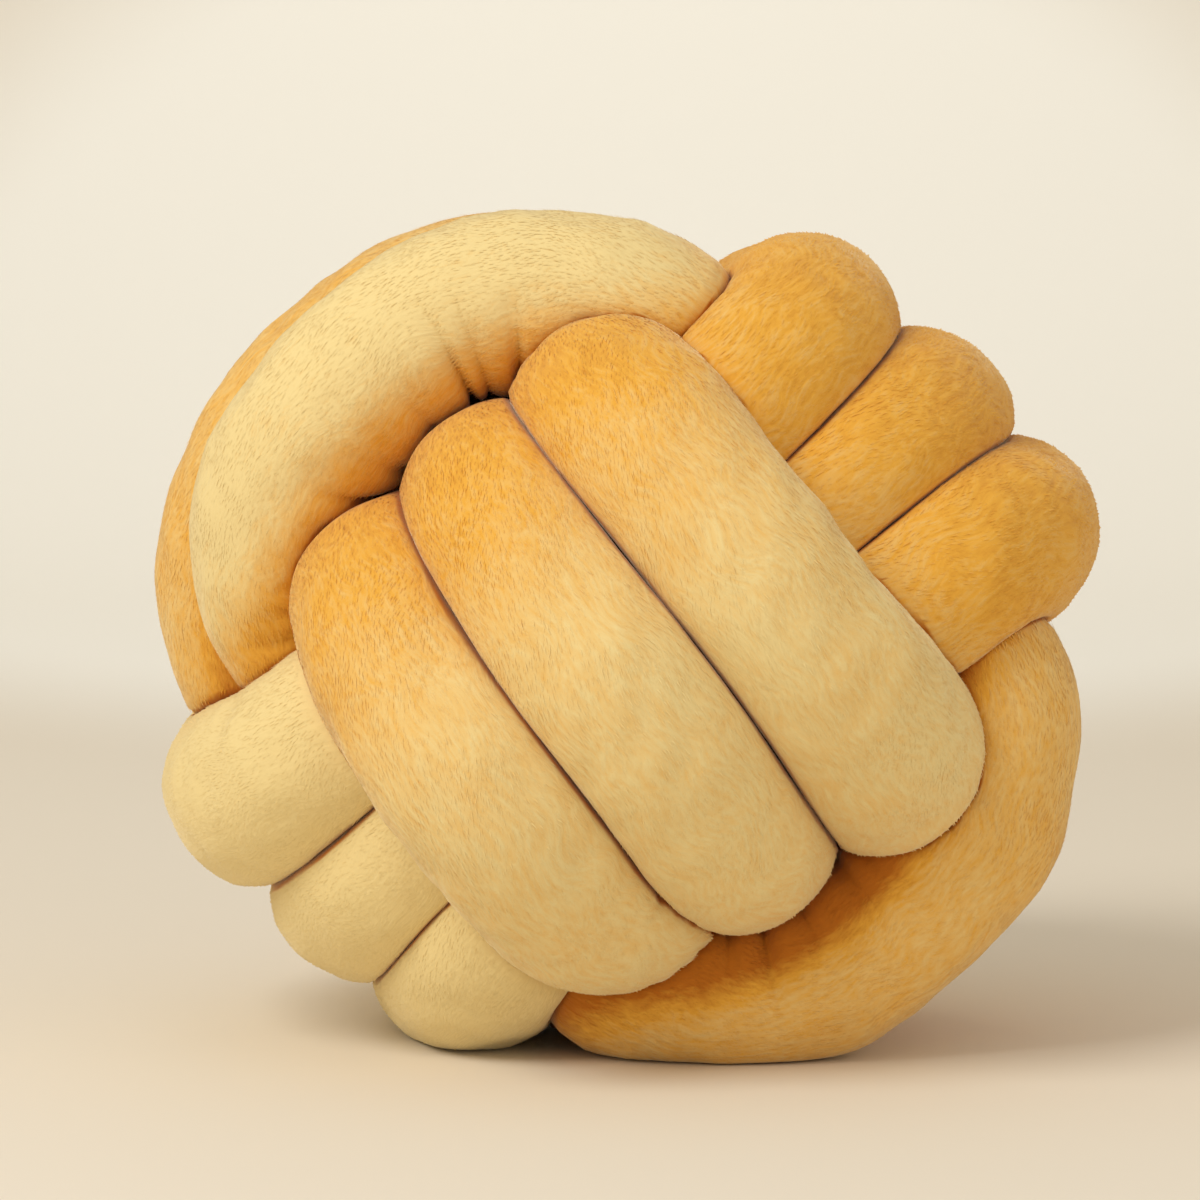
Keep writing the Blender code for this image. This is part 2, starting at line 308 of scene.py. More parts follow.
def ring_points(name):
    """Centre line of one ring's three turns, from one far passage to another, as (u, v, w)."""
    long_way, short_way, side_way = ("uvw".index(axis) for axis in RING_AXES[name])
    turns = TURNS[name]
    points = []
    for step in range(LEFT_OUT, LEFT_OUT + POINTS_PER_RING):
        count, within = divmod(step, POINTS_PER_TURN)
        turn = turns[count]
        angle = 2 * pi * within / POINTS_PER_TURN
        short, long = superellipse(angle, turn.power)
        long *= turn.face if long >= 0 else turn.far_face
        short *= -turn.far_passage if short >= 0 else -turn.passage
        next_turn = turns[min(count + 1, 2)]
        places = (turn.side_at_far_passage, turn.side_at_face, turn.side_at_passage,
                  turn.side_at_far_face, next_turn.side_at_far_passage)
        quarter, within = divmod(within, POINTS_PER_TURN // 4)
        share = eased(4 * within / POINTS_PER_TURN)
        turned = radians(turn.turned)
        point = [0.0, 0.0, 0.0]
        point[long_way] = (long * cos(turned) - short * sin(turned)) / 1000
        point[short_way] = (long * sin(turned) + short * cos(turned)) / 1000
        point[side_way] = (places[quarter] * (1 - share) + places[quarter + 1] * share) / 1000
        points.append(point)
    return points


def between_rings(places, passed_on=0):
    """Places in metres, passed on by as many axes as asked: u to v, v to w, w to u."""
    return np.roll(np.array(places) / 1000, passed_on, axis=1)


def route_points():
    """Points of the whole route: tucked end, ring A, link, ring B, link, ring C, tucked end."""
    return np.vstack([between_rings(FIRST_END), ring_points("A"),
                      between_rings(LINK), ring_points("B"),
                      between_rings(LINK, passed_on=1), ring_points("C"),
                      between_rings(LAST_END)])


def lengths(line):
    return np.r_[0.0, np.cumsum(np.linalg.norm(np.diff(line, axis=0), axis=1))]


def at_lengths(line, places):
    length = lengths(line)
    return np.column_stack([np.interp(places, length, line[:, axis]) for axis in range(3)])


def spread(line, step):
    """The same line with evenly spaced points."""
    full = lengths(line)[-1]
    return at_lengths(line, np.linspace(0.0, full, int(round(full / step)) + 1))


def relax(line):
    """Moves every point of the line but its ends half way to the middle of its neighbours."""
    line[1:-1] = 0.25 * line[:-2] + 0.5 * line[1:-1] + 0.25 * line[2:]


def smooth_line(points, step, per_span=16, passes=6):
    """A smooth curve through the points (Catmull-Rom), evenly spaced and slightly relaxed."""
    ends = np.vstack([2 * points[0] - points[1], points, 2 * points[-1] - points[-2]])
    share = np.arange(per_span)[:, None] / per_span
    spans = []
    for p0, p1, p2, p3 in zip(ends, ends[1:], ends[2:], ends[3:]):
        spans.append(0.5 * (2 * p1 + (p2 - p0) * share
                            + (2 * p0 - 5 * p1 + 4 * p2 - p3) * share ** 2
                            + (3 * p1 - p0 - 3 * p2 + p3) * share ** 3))
    line = spread(np.vstack(spans + [points[-1:]]), step)
    for _ in range(passes):
        relax(line)
    return spread(line, step)


def settled(line, tube):
    """Pushes crowded stretches apart inside the knot, and keeps its outer turns in place."""
    start = spread(line, 2 * ROUTE_STEP)
    along = np.arange(len(start)) * 2 * ROUTE_STEP
    own = np.abs(along[:, None] - along) < OWN_BEND * tube.radius
    outer = risen(np.linalg.norm(start, axis=1), FREE_WITHIN, HELD_BEYOND - FREE_WITHIN)
    hold = (FREE + (HELD - FREE) * eased(outer))[:, None]
    line = start.copy()
    for _ in range(ROUNDS):
        offset = line[:, None] - line
        apart = np.linalg.norm(offset, axis=2)
        crowding = np.where((apart < CROWDED) & ~own, 0.5 * (CROWDED - apart), 0.0)
        push = (offset * (crowding / np.maximum(apart, NEARLY_NONE))[..., None]).sum(axis=1)
        line += push / np.maximum((crowding > 0).sum(axis=1), 1)[:, None]
        line += hold * (start - line)
        relax(line)
    return smooth_line(line, ROUTE_STEP)


def lying():
    """Turns the knot's axes into the world's."""
    turn = (Matrix.Rotation(radians(90 - TILT_BACK), 3, "X")
            @ Matrix.Rotation(radians(-ROLL), 3, "Z")
            @ Matrix.Rotation(radians(LEAN), 3, "X") @ Matrix.Rotation(radians(TIP), 3, "Y"))
    return np.array(turn)


def ring_shares(line):
    """How much each point of the line belongs to ring A, B and C, one column each."""
    route = lengths(route_points())
    place = lengths(line)
    scale = place[-1] / route[-1]
    shares = []
    for number in range(3):
        start = len(FIRST_END) + number * (POINTS_PER_RING + len(LINK))
        first, last = route[start], route[start + POINTS_PER_RING - 1]
        middle, half = scale * (first + last) / 2, scale * (last - first) / 2
        inside = half + RING_BLEND - np.abs(place - middle)
        shares.append(np.clip(inside / (2 * RING_BLEND), 0, 1))
    return np.stack(shares, axis=1)


# ------------------------------------------------------------------ the skin of the tube

def ring_places(line, tube):
    """Places along the line for the rings of the mesh, close together where the tube shows."""
    length = lengths(line)
    reach = np.linalg.norm(line, axis=1)
    inside = eased(np.clip((INNER_FROM - reach) / INNER_OVER, 0, 1))
    step = tube.outer_step + (tube.inner_step - tube.outer_step) * inside
    count = np.r_[0.0, np.cumsum(np.diff(length) / (0.5 * (step[1:] + step[:-1])))]
    return np.interp(np.linspace(0, count[-1], int(round(count[-1])) + 1), count, length)


def room_around(centres, places, outward, line, tube):
    """Distance from each centre to half way to the nearest other stretch, along each direction."""
    along_line = np.arange(len(line)) * ROUTE_STEP
    room = np.empty(outward.shape[:2])
    for index, centre in enumerate(centres):
        offset = line - centre
        apart = np.abs(along_line - places[index])
        near = (offset ** 2).sum(axis=1) < MEETS_WITHIN
        offset, apart = offset[near], apart[near]
        reach = outward[index] @ offset.T
        half_way = (offset ** 2).sum(axis=1) / (2 * np.maximum(reach, NEARLY_NONE))
        half_way = np.where(reach > NEARLY_NONE, half_way, FAR)
        half_way[:, apart < OWN_STRETCH * tube.radius] = FAR
        half_way[:, apart < OWN_BEND * tube.radius] *= OWN_BEND_ROOM
        room[index] = half_way.min(axis=1)
    return room


def skin_radius(room, places, tube):
    """(radius of the skin, free radius): the free tube's in the open, else up to the contact."""
    full_area = pi * tube.radius ** 2
    swell = np.ones(len(room))
    even = np.arange(0, places[-1], EVENED_OVER / 3)
    for _ in range(3):
        free = tube.radius * swell[:, None]
        radius = np.minimum(free, room)
        radius -= np.maximum(tube.crease - np.abs(free - room), 0) ** 2 / (4 * tube.crease)
        area = pi * (radius ** 2).mean(axis=1)
        swell = np.clip(swell * np.sqrt(full_area / area), 1.0, tube.swell)
        swell = smoothed(np.interp(even, places, swell), 2, passes=2)
        swell = np.interp(places, even, swell)
    return radius - tube.gap, free


def lumps(points, openness, tube, rng):
    """Height of the soft lumps of the filling, which are lower in the creases."""
    large, small = LUMP_SIZES
    height = tube.lump * (soft_waves(points, large, rng) + 0.5 * soft_waves(points, small, rng))
    return height * (LUMPS_IN_CREASES + (1 - LUMPS_IN_CREASES) * openness)


def gathers(places, bend, outward, tube, rng):
    """Depth of the small gathers that the cloth makes on the inside of a bend."""
    tightness = np.linalg.norm(bend, axis=1)
    inward = bend / np.maximum(tightness, NEARLY_NONE)[:, None]
    inside = (outward * inward[:, None, :]).sum(axis=2)
    total = np.zeros(outward.shape[:2])
    place = 0.0
    while place < places[-1]:
        place += tube.gather_spacing * rng.uniform(*GATHER_GAPS)
        width = tube.gather_spacing * rng.uniform(*GATHER_WIDTHS)
        reach = rng.uniform(*GATHER_REACHES)
        depth = rng.uniform(*GATHER_DEPTHS) * risen(inside, reach, 1 - reach) ** 0.8
        fall = np.exp(-(np.abs(places - place) / width) ** 1.5)
        total = np.maximum(total, depth * fall[:, None])
    return tube.gather * total * np.clip(tightness * GATHERED_BEND, 0, 1)[:, None]


def end_shape(places):
    """Share of its radius that the tube keeps at each place: its closed ends round off."""
    from_end = np.minimum(places, places[-1] - places)
    short_of_end = np.clip(1 - from_end / END_ROUNDING, 0.0, END_FLATNESS)
    return np.sqrt(1 - short_of_end ** 2)


def set_down(spot, pressed_in):
    """(points pressed flat on the floor round the origin, what was taken off them for that)."""
    lowest, highest = spot.min(axis=(0, 1)), spot.max(axis=(0, 1))
    middle = (lowest + highest) / 2
    shift = np.array([middle[0], middle[1], lowest[2] + pressed_in])
    spot = spot - shift
    height = spot[..., 2]
    spot[..., 2] = 0.5 * (height + np.sqrt(height ** 2 + FLOOR_EASE ** 2))
    return spot, shift


# ------------------------------------------------------------------ nodes and meshes

def connect(tree, node, inputs):
    """Fills inputs by name or number, each with a value or a socket to link."""
    for name, value in inputs.items():
        if isinstance(value, bpy.types.NodeSocket):
            tree.links.new(value, node.inputs[name])
        else:
            node.inputs[name].default_value = value


def add_node(tree, kind, inputs=None, **settings):
    node = tree.nodes.new(kind)
    for name, value in settings.items():
        setattr(node, name, value)
    connect(tree, node, inputs or {})
    return node


def maths(tree, operation, *values):
    inputs = dict(enumerate(values))
    return add_node(tree, "ShaderNodeMath", inputs, operation=operation).outputs[0]


def vector_maths(tree, operation, *values, scale=None):
    inputs = dict(enumerate(values))
    if scale is not None:
        inputs["Scale"] = scale
    return add_node(tree, "ShaderNodeVectorMath", inputs, operation=operation).outputs[0]


def named_attribute(tree, name, data_type):
    """A named attribute, for Geometry Nodes."""
    return add_node(tree, "GeometryNodeInputNamedAttribute", {"Name": name},
                    data_type=data_type).outputs["Attribute"]


def random_vector(tree, least, most, seed):
    return add_node(tree, "FunctionNodeRandomValue", {"Min": least, "Max": most, "Seed": seed},
                    data_type="FLOAT_VECTOR").outputs["Value"]


def named_tree(name, sockets):
    """(tree, its inputs) of a Geometry Nodes tree with a geometry and the named inputs given."""
    tree = bpy.data.node_groups.new(name, "GeometryNodeTree")
    tree.interface.new_socket("Geometry", in_out="INPUT", socket_type="NodeSocketGeometry")
    for label, kind in sockets:
        tree.interface.new_socket(label, in_out="INPUT", socket_type="NodeSocket" + kind)
    tree.interface.new_socket("Geometry", in_out="OUTPUT", socket_type="NodeSocketGeometry")
    return tree, tree.nodes.new("NodeGroupInput").outputs


def made_by_nodes(source, tree, values, name):
    """A plain mesh made from the source mesh by the tree with these values."""
    holder = bpy.data.objects.new(name + "_holder", source)
    bpy.context.scene.collection.objects.link(holder)
    modifier = holder.modifiers.new("nodes", "NODES")
    modifier.node_group = tree
    for item in tree.interface.items_tree:
        if item.in_out == "INPUT" and item.name in values:
            modifier[item.identifier] = values[item.name]
    bpy.context.view_layer.update()
    evaluated = holder.evaluated_get(bpy.context.evaluated_depsgraph_get())
    mesh = bpy.data.meshes.new_from_object(evaluated)
    mesh.name = name
    bpy.data.objects.remove(holder)
    return mesh


def mesh_points(mesh):
    flat = np.empty(len(mesh.vertices) * 3)
    mesh.vertices.foreach_get("co", flat)
    return flat.reshape(-1, 3)


def store(mesh, name, values, kind="FLOAT"):
    attribute = mesh.attributes.get(name) or mesh.attributes.new(name, kind, "POINT")
    field = "vector" if kind == "FLOAT_VECTOR" else "value"
    attribute.data.foreach_set(field, np.ravel(values))


def stored(mesh, name):
    values = np.empty(len(mesh.vertices), np.float32)
    mesh.attributes[name].data.foreach_get("value", values)
    return values


def finished(mesh, name):
    piece = bpy.data.objects.new(name, mesh)
    bpy.context.scene.collection.objects.link(piece)
    return piece


# ------------------------------------------------------------------ materials

def new_material(name):
    """(material, its node tree, its shader)"""
    material = bpy.data.materials.new(name)
    material.use_nodes = True
    return material, material.node_tree, material.node_tree.nodes["Principled BSDF"]


def attribute(tree, name, output="Fac"):
    """A named attribute, for materials."""
    return add_node(tree, "ShaderNodeAttribute", attribute_name=name).outputs[output]


def noise(tree, place, look):
    """Outputs of a noise with the look given: scale, detail and roughness."""
    scale, detail, roughness = look
    return add_node(tree, "ShaderNodeTexNoise", {"Vector": place, "Scale": scale,
                                                 "Detail": detail, "Roughness": roughness}).outputs


def swing(tree, value, amount):
    """A noise from 0 to 1 as a change by up to half the amount, either way."""
    return maths(tree, "MULTIPLY_ADD", value, amount, -amount / 2)


def falling(tree, value, start, end):
    """1 up to the start, 0 from the end on, and eased between them."""
    inputs = {"Value": value, "From Min": start, "From Max": end, "To Min": 1.0, "To Max": 0.0}
    return add_node(tree, "ShaderNodeMapRange", inputs,
                    interpolation_type="SMOOTHSTEP").outputs[0]


def mixed(tree, share, first, second):
    """The first colour where the share is 0, the second where it is 1."""
    return add_node(tree, "ShaderNodeMix", {"Factor": share, 6: first, 7: second},
                    data_type="RGBA").outputs[2]


def plush_material(name, colours, pile):
    """Short brushed plush: colour, painted shade in the creases and relief on the skin, and on the
    tufts also painted shade at the root and painted sheen at the tip.
    """
    material, tree, shader = new_material(name)
    place = add_node(tree, "ShaderNodeTexCoord").outputs["Object"]
    wander = vector_maths(tree, "SUBTRACT", noise(tree, place, WANDER_NOISE)["Color"],
                          (0.5, 0.5, 0.5))
    wander = vector_maths(tree, "SCALE", wander, scale=WANDER)
    astray = vector_maths(tree, "ADD", attribute(tree, "cloth", "Vector"), wander)
    brushed = vector_maths(tree, "MULTIPLY", astray, STROKES)
    patches = noise(tree, place, PATCH_NOISE)["Fac"]
    flecks = noise(tree, brushed, FLECK_NOISE)["Fac"]
    clumps = noise(tree, brushed, CLUMP_NOISE)["Fac"]
    # the nap attribute holds painted light and shade as well as the nap's tone; patches and flecks
    # are random tone
    tone = maths(tree, "ADD", attribute(tree, "nap"), swing(tree, patches, PATCH_TONE))
    tone = maths(tree, "ADD", tone, swing(tree, flecks, FLECK_TONE))
    # painted shade at the roots of the tufts and painted sheen at their tips
    if pile:
        root_shade_tip_sheen = maths(tree, "MULTIPLY_ADD", attribute(tree, "tip"), TIP_SHEEN_TONE, ROOT_SHADE_TONE)
        tone = maths(tree, "ADD", tone, root_shade_tip_sheen)
    on_ramp = maths(tree, "MULTIPLY_ADD", tone, PALE_AT - GOLD_AT, GOLD_AT)
    deep_to_pale = add_node(tree, "ShaderNodeValToRGB", {0: on_ramp})
    ramp = deep_to_pale.color_ramp
    ramp.elements[0].position, ramp.elements[0].color = 0.0, (*colours.deep, 1)
    ramp.elements[1].position, ramp.elements[1].color = PALE_AT, (*colours.pale, 1)
    ramp.elements.new(GOLD_AT).color = (*colours.gold, 1)
    # painted shade: the creases are painted in the deep colour
    crease_shade = falling(tree, attribute(tree, "openness"), 0.0, CREASE_SHADE_OPENNESS)
    relief = maths(tree, "ADD", maths(tree, "MULTIPLY", flecks, FLECK_RELIEF), clumps)
    bump = add_node(tree, "ShaderNodeBump", {"Height": relief, "Strength": BUMP,
                                             "Distance": BUMP_DEPTH})
    connect(tree, shader, {
        "Base Color": mixed(tree, crease_shade, deep_to_pale.outputs[0], (*colours.deep, 1)),
        "Normal": bump.outputs[0], "Roughness": 0.95, "Specular IOR Level": 0.1,
        "Sheen Weight": 0.5, "Sheen Roughness": 0.4, "Sheen Tint": (*colours.sheen, 1)})
    return material


def sweep_material(stage):
    """Smooth painted sweep, with a painted pool of light: its colour is lighter behind the cushion.
    """
    material, tree, shader = new_material("studio_sweep_paint")
    place = add_node(tree, "ShaderNodeTexCoord").outputs["Object"]
    centred = add_node(tree, "ShaderNodeMapping", {"Vector": place, "Location": GLOW_SHIFT,
                                                   "Scale": GLOW_SCALE}).outputs[0]
    reach = add_node(tree, "ShaderNodeVectorMath", {0: centred},
                     operation="LENGTH").outputs["Value"]
    # painted light, strongest on the backdrop behind the middle of the cushion
    painted_glow = falling(tree, reach, *GLOW_FADE)
    connect(tree, shader, {"Base Color": mixed(tree, painted_glow, (*stage.floor, 1), (*stage.painted_glow, 1)),
                           "Roughness": 0.7, "Specular IOR Level": 0.2})
    return material


# ------------------------------------------------------------------ operators

def tube_tree():
    """Follows the route with a profile whose points stand closer together on the outside."""
    tree, given = named_tree("Follow Route", [("Sides", "Int"), ("Thin Radius", "Float"),
                                              ("Bunched", "Float")])
    route = add_node(tree, "GeometryNodeMeshToCurve", {"Mesh": given["Geometry"]})
    outward = named_attribute(tree, "outward", "FLOAT_VECTOR")
    facing = add_node(tree, "GeometryNodeSetCurveNormal",
                      {"Curve": route.outputs["Curve"], "Normal": outward}, mode="FREE")
    circle = add_node(tree, "GeometryNodeCurvePrimitiveCircle", {"Resolution": given["Sides"]},
                      mode="RADIUS")
    index = add_node(tree, "GeometryNodeInputIndex").outputs[0]
    angle = maths(tree, "MULTIPLY", maths(tree, "DIVIDE", index, given["Sides"]), 2 * pi)
    bunching = maths(tree, "MULTIPLY", maths(tree, "SINE", angle), given["Bunched"])
    angle = maths(tree, "SUBTRACT", angle, bunching)
    point = add_node(tree, "ShaderNodeCombineXYZ", {0: maths(tree, "COSINE", angle),
                                                    1: maths(tree, "SINE", angle)})
    thin = vector_maths(tree, "SCALE", point.outputs[0], scale=given["Thin Radius"])
    profile = add_node(tree, "GeometryNodeSetPosition",
                       {"Geometry": circle.outputs["Curve"], "Position": thin})
    tube = add_node(tree, "GeometryNodeCurveToMesh",
                    {"Curve": facing.outputs[0], "Profile Curve": profile.outputs[0],
                     "Fill Caps": True})
    add_node(tree, "NodeGroupOutput", {0: tube.outputs[0]})
    return tree


class CUSHION_OT_tube(bpy.types.Operator):
    """Ties the stuffed tube into the ball knot and presses it on the floor"""

    bl_idname = "cushion.tube"
    bl_label = "Knotted Tube"

    def execute(self, context):
        tube = context.scene.cushion_tube
        rng = np.random.default_rng(tube.seed)
        turn = lying()
        knot_line = settled(smooth_line(route_points(), ROUTE_STEP), tube)
        line = knot_line @ turn.T
        places = ring_places(line, tube)
        centres = at_lengths(line, places)
        along = unit(np.gradient(smoothed(centres, 1, passes=1), places, axis=0))
        mesh, out, order = self.thin_tube(centres, along, tube)
        room = room_around(centres, places, out, line, tube)
        radius, free = skin_radius(room, places, tube)
        knot_spot = (centres[:, None] + out * radius[..., None]) @ turn
        openness = risen(room / free, 1.0, OPEN_ROOM)
        bend = np.gradient(smoothed(along, 2, passes=2), places, axis=0)
        radius = radius + lumps(knot_spot, openness, tube, rng)
        radius = radius - gathers(places, bend, out, tube, rng)
        radius *= end_shape(places)[:, None]
        spot, shift = set_down(centres[:, None] + out * radius[..., None], tube.pressed_in)
        mesh.vertices.foreach_set("co", spot[order].ravel())
        brush = self.brush(knot_line, places, along, out, knot_spot, rng)
        cover = risen(openness, *COVER_OPENNESS)
        cover *= risen(np.linalg.norm(spot + shift, axis=2), *COVER_REACH)
        cover *= risen(spot[..., 2], *COVER_HEIGHT)
        ring = np.argmax(ring_shares(knot_line), axis=1)
        ring = np.interp(places, lengths(knot_line), ring).round()
        store(mesh, "openness", openness[order])
        # tone of the plush, with painted light and shade in it
        store(mesh, "nap", self.nap(knot_line, places, knot_spot)[order])
        store(mesh, "cover", cover[order])
        store(mesh, "brush", brush[order], "FLOAT_VECTOR")
        store(mesh, "cloth", self.cloth(places, tube)[order], "FLOAT_VECTOR")
        store(mesh, "patch", (2 * ring[:, None] + (spot[..., 0] > 0))[order])
        mesh.polygons.foreach_set("use_smooth", np.ones(len(mesh.polygons), bool))
        mesh.update()
        mesh.materials.clear()
        colours = context.scene.cushion_colours
        mesh.materials.append(plush_material("yellow_plush_skin", colours, pile=False))
        piece = finished(mesh, "plush_tube")
        context.scene["knot_middle"] = (-shift).tolist()
        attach(piece, "root")
        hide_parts(NODE)
        return {"FINISHED"}

    @staticmethod
    def thin_tube(centres, along, tube):
        """(mesh of a thin tube, unit directions from its centres to its points, order of rings)."""
        outward = unit(across(smoothed(across(centres, along), 3), along))
        route = bpy.data.meshes.new("route")
        route.from_pydata(centres.tolist(), [(i, i + 1) for i in range(len(centres) - 1)], [])
        store(route, "outward", outward, "FLOAT_VECTOR")
        mesh = made_by_nodes(route, tube_tree(), {"Sides": tube.sides, "Thin Radius": SEED_RADIUS,
                                                  "Bunched": tube.bunched}, "plush_tube")
        points = mesh_points(mesh).reshape(len(centres), tube.sides, 3)
        for order in (slice(None), slice(None, None, -1)):
            if np.linalg.norm(points[order][0].mean(axis=0) - centres[0]) <= RING_ASTRAY:
                return mesh, unit(points[order] - centres[:, None]), order
        raise RuntimeError("the rings of the tube don't follow the route")

    @staticmethod
    def brush(knot_line, places, along, out, knot_spot, rng):
        """Directions that the pile is brushed in, flat on the skin, and to the back on ring C."""
        on_ring_c = np.interp(places, lengths(knot_line), ring_shares(knot_line)[:, 2])
        to_back = np.clip(TO_BACK * along[:, 1], -1, 1)
        flow = 1 + on_ring_c * (to_back - 1)
        swirl = [soft_waves(knot_spot, SWIRL_SIZE, rng) for _ in range(3)]
        brush = (along * flow[:, None])[:, None] + BRUSHED_DOWN + SWIRL * np.stack(swirl, axis=-1)
        brush = across(brush, out)
        return brush / np.maximum(np.linalg.norm(brush, axis=2), LEAST_BRUSH)[..., None]

    @staticmethod
    def cloth(places, tube):
        """Place of each point on the flat cloth: along the tube, and round it from its outside."""
        side = np.arange(tube.sides)
        angle = 2 * pi * np.where(side > tube.sides // 2, side - tube.sides, side) / tube.sides
        round_it = tube.radius * (angle - tube.bunched * np.sin(angle))
        along, round_it = np.broadcast_arrays(places[:, None], round_it)
        return np.stack([along, round_it, np.zeros_like(along)], axis=-1)

    @staticmethod
    def nap(knot_line, places, knot_spot):
        """0 where the plush is gold, 1 where it is pale, below 0 where it is deeper than gold: the
        nap's tone with painted light and shade in it.
        """
        shares = ring_shares(knot_line)
        reach = np.linalg.norm(knot_spot, axis=2)
        # painted shade where the turns dive into the knot
        dived = eased(np.clip((AT_TOP - reach) / (AT_TOP - DIVED), 0, 1))
        total = np.zeros(knot_spot.shape[:2])
        weight = np.full(len(places), NO_RING)
        for number, name in enumerate("ABC"):
            rule = NAP_AND_SHADE[name]
            value = knot_spot[..., "uvw".index(rule.axis)]
            value = eased(risen(value, rule.deep_at, rule.light_at - rule.deep_at))
            share = np.interp(places, lengths(knot_line), shares[:, number])
            side = knot_spot[..., "uvw".index(RING_AXES[name][2])]
            # painted shade on the turns behind the first one
            behind = eased(np.clip((BEHIND_FROM - side) / BEHIND_FADE, 0, 1))
            light = rule.deepest + (rule.lightest - rule.deepest) * value
            light = light - rule.behind * value * behind
            dive = rule.dive_deep + (rule.dive_light - rule.dive_deep) * value
            total += share[:, None] * (light - dive * dived)
            weight += share
        return total / weight[:, None]


def pile_tree():
    """Stands small leaning tufts on the skin, evenly spaced, where the cover attribute allows."""
    tree, given = named_tree("Stand Pile", [
        ("Spacing", "Float"), ("Length", "Float"), ("Width", "Float"), ("Lean", "Float"),
        ("Ruffle", "Float"), ("Seed", "Int"), ("Material", "Material")])
    spots = add_node(tree, "GeometryNodeDistributePointsOnFaces",
                     {"Mesh": given["Geometry"], "Distance Min": given["Spacing"],
                      "Density Max": PILE_DENSITY,
                      "Density Factor": named_attribute(tree, "cover", "FLOAT"),
                      "Seed": given["Seed"]}, distribute_method="POISSON")
    normal = spots.outputs["Normal"]
    brush = named_attribute(tree, "brush", "FLOAT_VECTOR")
    upright = vector_maths(tree, "SCALE", normal, scale=maths(tree, "COSINE", given["Lean"]))
    leaning = vector_maths(tree, "SCALE", brush, scale=maths(tree, "SINE", given["Lean"]))
    ruffled = random_vector(tree, (-1, -1, -1), (1, 1, 1), given["Seed"])
    ruffled = vector_maths(tree, "SCALE", ruffled, scale=given["Ruffle"])
    way = vector_maths(tree, "ADD", vector_maths(tree, "ADD", upright, leaning), ruffled)
    pointed = add_node(tree, "FunctionNodeAlignRotationToVector", {"Vector": way}, axis="Z")
    turned = add_node(tree, "FunctionNodeAlignRotationToVector",
                      {"Rotation": pointed.outputs[0], "Vector": normal}, axis="Y",
                      pivot_axis="Z")
    size = random_vector(tree, TUFT_LEAST, TUFT_MOST, given["Seed"])
    half_width = maths(tree, "MULTIPLY", given["Width"], 0.5)
    cone = add_node(tree, "GeometryNodeMeshCone",
                    {"Vertices": 3, "Radius Bottom": half_width, "Radius Top": 0.0,
                     "Depth": given["Length"]}, fill_type="NONE")
    place = add_node(tree, "GeometryNodeInputPosition").outputs[0]
    height = add_node(tree, "ShaderNodeSeparateXYZ", {0: place}).outputs["Z"]
    tip = maths(tree, "DIVIDE", height, given["Length"])
    tuft = add_node(tree, "GeometryNodeStoreNamedAttribute",
                    {"Geometry": cone.outputs["Mesh"], "Name": "tip", "Value": tip},
                    data_type="FLOAT", domain="POINT")
    tufts = add_node(tree, "GeometryNodeInstanceOnPoints",
                     {"Points": spots.outputs["Points"], "Instance": tuft.outputs[0],
                      "Rotation": turned.outputs[0], "Scale": size})
    real = add_node(tree, "GeometryNodeRealizeInstances", {"Geometry": tufts.outputs[0]})
    flat = add_node(tree, "GeometryNodeSetShadeSmooth",
                    {"Geometry": real.outputs[0], "Shade Smooth": False})
    done = add_node(tree, "GeometryNodeSetMaterial",
                    {"Geometry": flat.outputs[0], "Material": given["Material"]})
    add_node(tree, "NodeGroupOutput", {0: done.outputs[0]})
    return tree


class CUSHION_OT_pile(bpy.types.Operator):
    """Stands the short pile on the tube, in a left and a right piece for each ring"""

    bl_idname = "cushion.pile"
    bl_label = "Plush Pile"

    def execute(self, context):
        pile = context.scene.cushion_pile
        source = bpy.data.objects["plush_tube"].data.copy()
        cover, patch = stored(source, "cover"), stored(source, "patch")
        tree = pile_tree()
        material = plush_material("yellow_plush_pile", context.scene.cushion_colours, pile=True)
        for number, name in enumerate(PILE_PIECES):
            store(source, "cover", cover * (patch == number))
            mesh = made_by_nodes(source, tree, {
                "Spacing": pile.spacing, "Length": pile.length, "Width": pile.width,
                "Lean": pile.lean, "Ruffle": pile.ruffle, "Seed": pile.seed + number,
                "Material": material}, "plush_pile_" + name)
            spots = mesh_points(mesh)
            spots[:, 2] = np.maximum(spots[:, 2], PILE_CLEARANCE)
            mesh.vertices.foreach_set("co", spots.ravel())
            mesh.update()
            piece = finished(mesh, "plush_pile_" + name)
            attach(piece, "root")
        bpy.data.meshes.remove(source)
        return {"FINISHED"}


